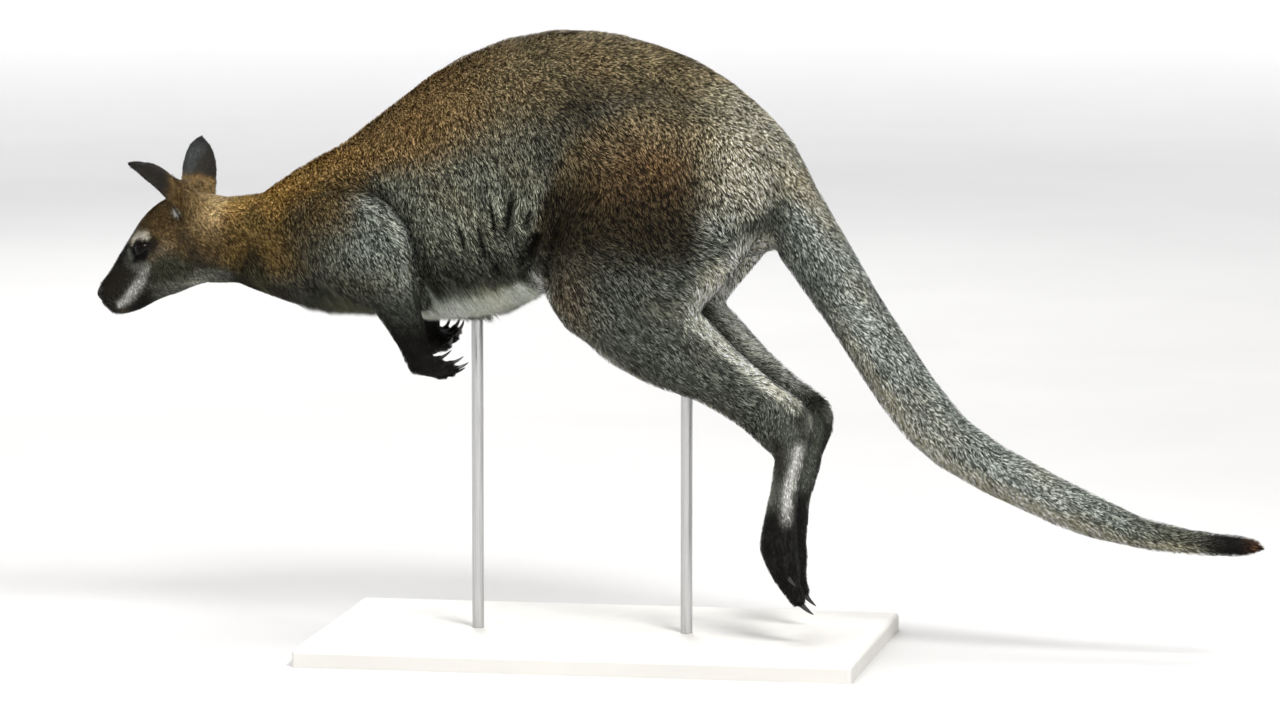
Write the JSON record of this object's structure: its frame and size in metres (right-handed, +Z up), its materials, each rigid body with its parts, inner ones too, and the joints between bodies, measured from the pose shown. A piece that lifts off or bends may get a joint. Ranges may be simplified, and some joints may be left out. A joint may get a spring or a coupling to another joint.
{
  "type": "red-necked wallaby",
  "caption": "Life-size red-necked wallaby in mid-hop, back arched and tail trailing, held above a flat base by upright rods.",
  "frame": {"origin": "middle of the underside of the stand's flat base, on the floor", "axes": "+Z up, -Y the way the animal travels, +X towards its left side"},
  "size_m": [0.34, 1.1849, 0.6236],
  "materials": {
    "coat_brown": "matt brown fur",
    "coat_rufous": "matt reddish-brown fur",
    "coat_grey": "matt grizzled grey fur",
    "coat_black": "matt black fur",
    "eye": "wet gloss",
    "claw": "dark horn with a soft gloss",
    "stand_board": "matt pale paint",
    "stand_rod": "brushed"
  },
  "bodies": {
    "root": {"head": "coat_brown", "neck": "coat_rufous", "chest": "coat_grey", "belly": "coat_brown", "rump": "coat_brown", "tail_1": "coat_grey", "tail_2": "coat_grey", "tail_3": "coat_grey", "tail_4": "coat_grey", "tail_5": "coat_black", "ear_left": "coat_black", "ear_right": "coat_black", "eye_left": "eye", "eye_right": "eye", "upper_arm_left": "coat_grey", "upper_arm_right": "coat_grey", "forearm_left": "coat_black", "forearm_right": "coat_black", "hand_left": "coat_black", "hand_right": "coat_black", "thigh_left": "coat_brown", "thigh_right": "coat_brown", "shin_left": "coat_grey", "shin_right": "coat_grey", "foot_left": "coat_black", "foot_right": "coat_black", "claw_hand_left_1": "claw", "claw_hand_left_2": "claw", "claw_hand_left_3": "claw", "claw_hand_left_4": "claw", "claw_hand_left_5": "claw", "claw_hand_right_1": "claw", "claw_hand_right_2": "claw", "claw_hand_right_3": "claw", "claw_hand_right_4": "claw", "claw_hand_right_5": "claw", "claw_foot_left_fourth": "claw", "claw_foot_left_fifth": "claw", "claw_foot_left_second": "claw", "claw_foot_left_third": "claw", "claw_foot_right_fourth": "claw", "claw_foot_right_fifth": "claw", "claw_foot_right_second": "claw", "claw_foot_right_third": "claw", "stand_base": "stand_board", "stand_rod_front": "stand_rod", "stand_rod_rear": "stand_rod"}
  },
  "joints": []
}
